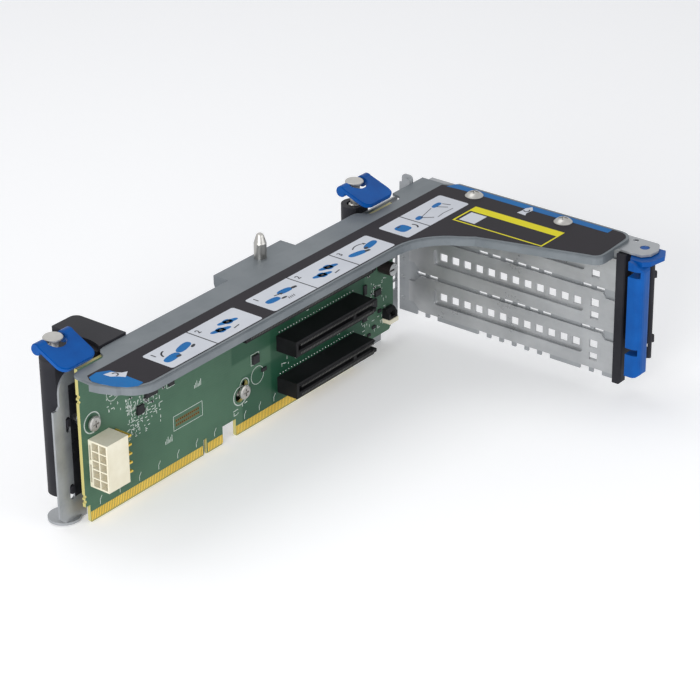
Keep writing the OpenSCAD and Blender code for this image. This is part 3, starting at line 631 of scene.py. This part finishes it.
def rowTree(name, shape):
    # a grid of small boxes or domes: Count, Step, Rows, RowStep, Size, Start
    tree = bpy.data.node_groups.new(name, "GeometryNodeTree")
    tree.interface.new_socket("Geometry", in_out="INPUT", socket_type="NodeSocketGeometry")
    for label, kind in (("Count", "NodeSocketInt"), ("Step", "NodeSocketVector"),
                        ("Rows", "NodeSocketInt"), ("Row Step", "NodeSocketVector"),
                        ("Size", "NodeSocketVector"), ("Start", "NodeSocketVector"),
                        ("Finish", "NodeSocketMaterial")):
        tree.interface.new_socket(label, in_out="INPUT", socket_type=kind)
    tree.interface.new_socket("Geometry", in_out="OUTPUT", socket_type="NodeSocketGeometry")
    given, out = tree.nodes.new("NodeGroupInput"), tree.nodes.new("NodeGroupOutput")
    along = tree.nodes.new("GeometryNodeMeshLine")
    along.mode = "OFFSET"
    across = tree.nodes.new("GeometryNodeMeshLine")
    across.mode = "OFFSET"
    tree.links.new(given.outputs["Count"], along.inputs["Count"])
    tree.links.new(given.outputs["Step"], along.inputs["Offset"])
    tree.links.new(given.outputs["Start"], along.inputs["Start Location"])
    tree.links.new(given.outputs["Rows"], across.inputs["Count"])
    tree.links.new(given.outputs["Row Step"], across.inputs["Offset"])
    if shape == "box":
        unit = tree.nodes.new("GeometryNodeMeshCube")
        unit.inputs["Size"].default_value = (1, 1, 1)
        unitOut = unit.outputs["Mesh"]
    else:
        unit = tree.nodes.new("GeometryNodeMeshUVSphere")
        unit.inputs["Segments"].default_value = 8
        unit.inputs["Rings"].default_value = 5
        unit.inputs["Radius"].default_value = 0.5
        unitOut = unit.outputs["Mesh"]
    rows = tree.nodes.new("GeometryNodeInstanceOnPoints")
    tree.links.new(across.outputs["Mesh"], rows.inputs["Points"])
    tree.links.new(along.outputs["Mesh"], rows.inputs["Instance"])
    solidRows = tree.nodes.new("GeometryNodeRealizeInstances")
    tree.links.new(rows.outputs["Instances"], solidRows.inputs["Geometry"])
    spots = tree.nodes.new("GeometryNodeInstanceOnPoints")
    tree.links.new(solidRows.outputs["Geometry"], spots.inputs["Points"])
    tree.links.new(unitOut, spots.inputs["Instance"])
    tree.links.new(given.outputs["Size"], spots.inputs["Scale"])
    solid = tree.nodes.new("GeometryNodeRealizeInstances")
    tree.links.new(spots.outputs["Instances"], solid.inputs["Geometry"])
    paint = tree.nodes.new("GeometryNodeSetMaterial")
    tree.links.new(solid.outputs["Geometry"], paint.inputs["Geometry"])
    tree.links.new(given.outputs["Finish"], paint.inputs["Material"])
    tree.links.new(paint.outputs["Geometry"], out.inputs["Geometry"])
    return tree


rowTrees = {"box": rowTree("rowOfBoxes", "box"), "dome": rowTree("rowOfDomes", "dome")}


def layRow(shape, count, step, size, start, finish, rows=1, rowStep=(0, 0, 0)):
    # one evaluated row as a plain mesh, sizes in mm
    mesh = bpy.data.meshes.new("row")
    holder = bpy.data.objects.new("row", mesh)
    bpy.context.scene.collection.objects.link(holder)
    modifier = holder.modifiers.new("row", "NODES")
    modifier.node_group = rowTrees[shape]
    values = {"Count": count, "Rows": rows, "Finish": materials[finish],
              "Step": [v * mm for v in step], "Row Step": [v * mm for v in rowStep],
              "Size": [v * mm for v in size], "Start": [v * mm for v in start]}
    for item in rowTrees[shape].interface.items_tree:
        if item.in_out == "INPUT" and item.name in values:
            modifier[item.identifier] = values[item.name]
    bpy.context.view_layer.update()
    seen = holder.evaluated_get(bpy.context.evaluated_depsgraph_get())
    made = bpy.data.meshes.new_from_object(seen)
    bpy.data.objects.remove(holder)
    bpy.data.meshes.remove(mesh)
    return made


def joinRows(name, meshes, finish, smooth=False):
    shell = bmesh.new()
    for mesh in meshes:
        shell.from_mesh(mesh)
        bpy.data.meshes.remove(mesh)
    made = bpy.data.meshes.new(name)
    shell.to_mesh(made)
    shell.free()
    made.materials.clear()
    made.materials.append(materials[finish])
    for face in made.polygons:
        face.material_index = 0
        face.use_smooth = smooth
    piece = bpy.data.objects.new(name, made)
    bpy.context.scene.collection.objects.link(piece)
    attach(piece, "cage")
    return piece


fingerSettings = {"pitch": 1.0, "width": 0.7, "tall": 4.1, "low": 0.7, "proud": 0.06,
                  "tongues": [(0.0, 70), (73.0, 10), (92.0, 70), (165.0, 10)]}


def makeFingers(s):
    rows = []
    for y in (-s["proud"] / 2, 1.6 + s["proud"] / 2):
        for x, count in s["tongues"]:
            rows.append(layRow("box", count, (s["pitch"], 0, 0),
                               (s["width"], s["proud"], s["tall"]),
                               (x + 0.65, y, s["low"] + s["tall"] / 2), "goldPlate"))
    piece = joinRows("edgeFingers", rows, "goldPlate")
    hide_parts("edge_contacts")


makeFingers(fingerSettings)


connectorSettings = {
    # left end, centre height, number of tail pairs
    "rows": [(87.7, 53.82, 43), (120.7, 33.5, 27), (120.7, 13.18, 27)],
    "step": 2.0, "tail": (0.7, 0.5, 0.7), "ridge": (0.5, 0.1, 1.0),
    "tailStart": 2.0, "tailFace": -0.12, "tailOffset": 4.7,
    "ridgeStart": 2.6, "ridgeFace": -12.03, "ridgeOffset": 2.0, "ridgeStep": 1.0,
}


def makeConnectorDetails(s):
    tails, ribs = [], []
    for x, z, count in s["rows"]:
        for side in (-1, 1):
            tails.append(layRow("dome", count, (s["step"], 0, 0), s["tail"],
                                (x + s["tailStart"], s["tailFace"],
                                 z + side * s["tailOffset"]), "solder"))
            # contact cells along both sides of the card groove
            ribs.append(layRow("box", count * 2 - 2, (s["ridgeStep"], 0, 0), s["ridge"],
                               (x + s["ridgeStart"], s["ridgeFace"],
                                z + side * s["ridgeOffset"]), "contactGrey"))
    joinRows("solderTails", tails, "solder", smooth=True)
    joinRows("connectorRibs", ribs, "contactGrey")


makeConnectorDetails(connectorSettings)

footprint = {"start": (54.2, 21.9), "pitch": 1.27, "count": 12, "rowStep": 2.0}


def makeFootprint(s):
    pads = layRow("box", s["count"], (s["pitch"], 0, 0), (0.95, 0.05, 1.3),
                  (s["start"][0], -0.025, s["start"][1]), "padBrown", 2, (0, 0, s["rowStep"]))
    # dark domes in the holes: painted shade for their hollows
    holes = layRow("dome", s["count"], (s["pitch"], 0, 0), (0.55, 0.12, 0.55),
                   (s["start"][0], -0.04, s["start"][1]), "holeShade", 2, (0, 0, s["rowStep"]))
    joinRows("footprintPads", [pads], "padBrown")
    joinRows("footprintHoles", [holes], "holeShade", smooth=True)


makeFootprint(footprint)
print("rows of contacts laid")


# silkscreen outlines, rings and small marks on the board

boardPrint = {
    "rings": [((4.0, 44.8), 4.6, 0.5), ((95.6, 18.3), 4.4, 0.5), ((98.6, 22.6), 2.9, 0.45),
              ((107.4, 23.5), 4.2, 0.25), ((16.8, 53.1), 3.6, 0.25)],
    "boxes": [(52.4, 19.6, 70.8, 26.4), (34.6, 41.8, 43.2, 48.4), (21.8, 51.2, 31.4, 60.8),
              (49.2, 41.2, 54.0, 44.8), (103.4, 29.4, 108.6, 34.6)],
    "barcodes": [(31.0, 54.0), (40.0, 56.0), (26.0, 40.0), (47.0, 15.6), (66.4, 34.2)],
    # left, bottom, right, top, how many
    "tickFields": [(24, 27, 45, 45, 120), (13, 42, 30, 54, 30), (24, 34, 52, 62, 30),
                   (36, 50, 66, 66, 24), (181, 10, 200, 36, 60), (120, 60, 176, 66, 30),
                   (90, 10, 100, 14, 8), (124, 20, 170, 24, 22), (124, 41, 170, 45, 22)],
    "partFields": [(26, 36, 50, 60, 26), (178, 24, 196, 50, 26), (124, 60.6, 174, 64, 14)],
    "seed": 7,
}


def printBoard(s):
    rng = random.Random(s["seed"])
    lines = []
    for (x, z), r, w in s["rings"]:
        lines += stroke(arcPath(x, z, r, 0, 360, 28), w)
    for x0, z0, x1, z1 in s["boxes"]:
        lines += stroke([(x0, z0), (x1, z0), (x1, z1), (x0, z1), (x0, z0)], 0.22)
    for x, z in s["barcodes"]:
        for i in range(6):
            lines += stroke([(x + i * 0.8, z), (x + i * 0.8, z + 1.4 + 0.8 * (i % 3))], 0.3)
    # short ticks beside the parts
    for x0, z0, x1, z1, count in s["tickFields"]:
        for _ in range(count):
            x, z = rng.uniform(x0, x1), rng.uniform(z0, z1)
            if rng.random() < 0.5:
                lines += stroke([(x, z), (x + rng.uniform(0.6, 1.8), z)], 0.3)
            else:
                lines += stroke([(x, z), (x, z + rng.uniform(0.6, 1.6))], 0.3)
    # ticks above the edge contacts
    for x in range(6, 82, 12):
        lines += stroke([(x, 6.0), (x, 8.0), (x + 1.2, 9.6)], 0.25)
    for x in range(98, 120, 10):
        lines += stroke([(x, 6.0), (x, 8.0), (x + 1.2, 9.6)], 0.25)
    points, faces = raised(lines, -0.035, -0.005, up=1)
    addPiece("boardPrint", points, faces, "silkscreen")
    # small two-ended parts in the same fields
    bodies, ends = [], []
    for x0, z0, x1, z1, count in s["partFields"]:
        for _ in range(count):
            x, z = rng.uniform(x0, x1), rng.uniform(z0, z1)
            bodies.append([(x, z), (x + 1.0, z), (x + 1.0, z + 0.6), (x, z + 0.6)])
            for e in (x - 0.25, x + 0.95):
                ends.append([(e, z - 0.02), (e + 0.3, z - 0.02), (e + 0.3, z + 0.62), (e, z + 0.62)])
    points, faces = raised(bodies, -0.45, 0.0, up=1)
    addPiece("tinyParts", points, faces, "chipBlack")
    points, faces = raised(ends, -0.47, 0.0, up=1)
    addPiece("tinyEnds", points, faces, "solder")


printBoard(boardPrint)


# round-wire springs in the latch tubes, in place of the plain coils

springSettings = {"coil": 2.8, "wire": 0.3, "turns": 9, "low": 52.34, "high": 69.46, "sides": 8}


def makeSpring(name, x, y, node, s):
    steps = s["turns"] * 24
    points, faces = [], []
    for i in range(steps + 1):
        t = i / steps
        a = 2 * math.pi * s["turns"] * t
        rise = s["low"] + (s["high"] - s["low"]) * t
        for k in range(s["sides"]):
            b = 2 * math.pi * k / s["sides"]
            r = s["coil"] + s["wire"] * math.cos(b)
            points.append((x + r * math.cos(a), y + r * math.sin(a), rise + s["wire"] * math.sin(b)))
    n = s["sides"]
    for i in range(steps):
        for k in range(n):
            k2 = (k + 1) % n
            faces.append([i * n + k, i * n + k2, (i + 1) * n + k2, (i + 1) * n + k])
    faces += [list(reversed(range(n))), [steps * n + k for k in range(n)]]
    piece = addPiece(name, points, faces, "springWire", smooth=True)
    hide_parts(node)
    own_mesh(piece)


makeSpring("frontSpringWire", -3.4, 11.6, "front_spring", springSettings)
makeSpring("rearSpringWire", 191.6, 11.6, "rear_spring", springSettings)
print("springs wound")


# bright ends with a dark mark on the capacitors

capSettings = {"places": [(196.2, 42.6), (187.0, 66.0)], "radius": 2.95, "face": -7.0}


def makeCapEnds(s):
    ends, marks = [], []
    for x, z in s["places"]:
        ends.append([(x + s["radius"] * math.cos(math.radians(a)),
                      z + s["radius"] * math.sin(math.radians(a))) for a in range(0, 360, 12)])
        marks.append([(x - 2.8, z - 0.4), (x + 0.4, z - 0.4), (x + 0.4, z + 0.5), (x - 2.8, z + 0.5)])
    points, faces = raised(ends, s["face"] - 0.08, s["face"] + 0.02, up=1)
    addPiece("capEnds", points, faces, "solder")
    points, faces = raised(marks, s["face"] - 0.1, s["face"] - 0.07, up=1)
    addPiece("capMarks", points, faces, "capSleeve")


makeCapEnds(capSettings)
print("small parts done")
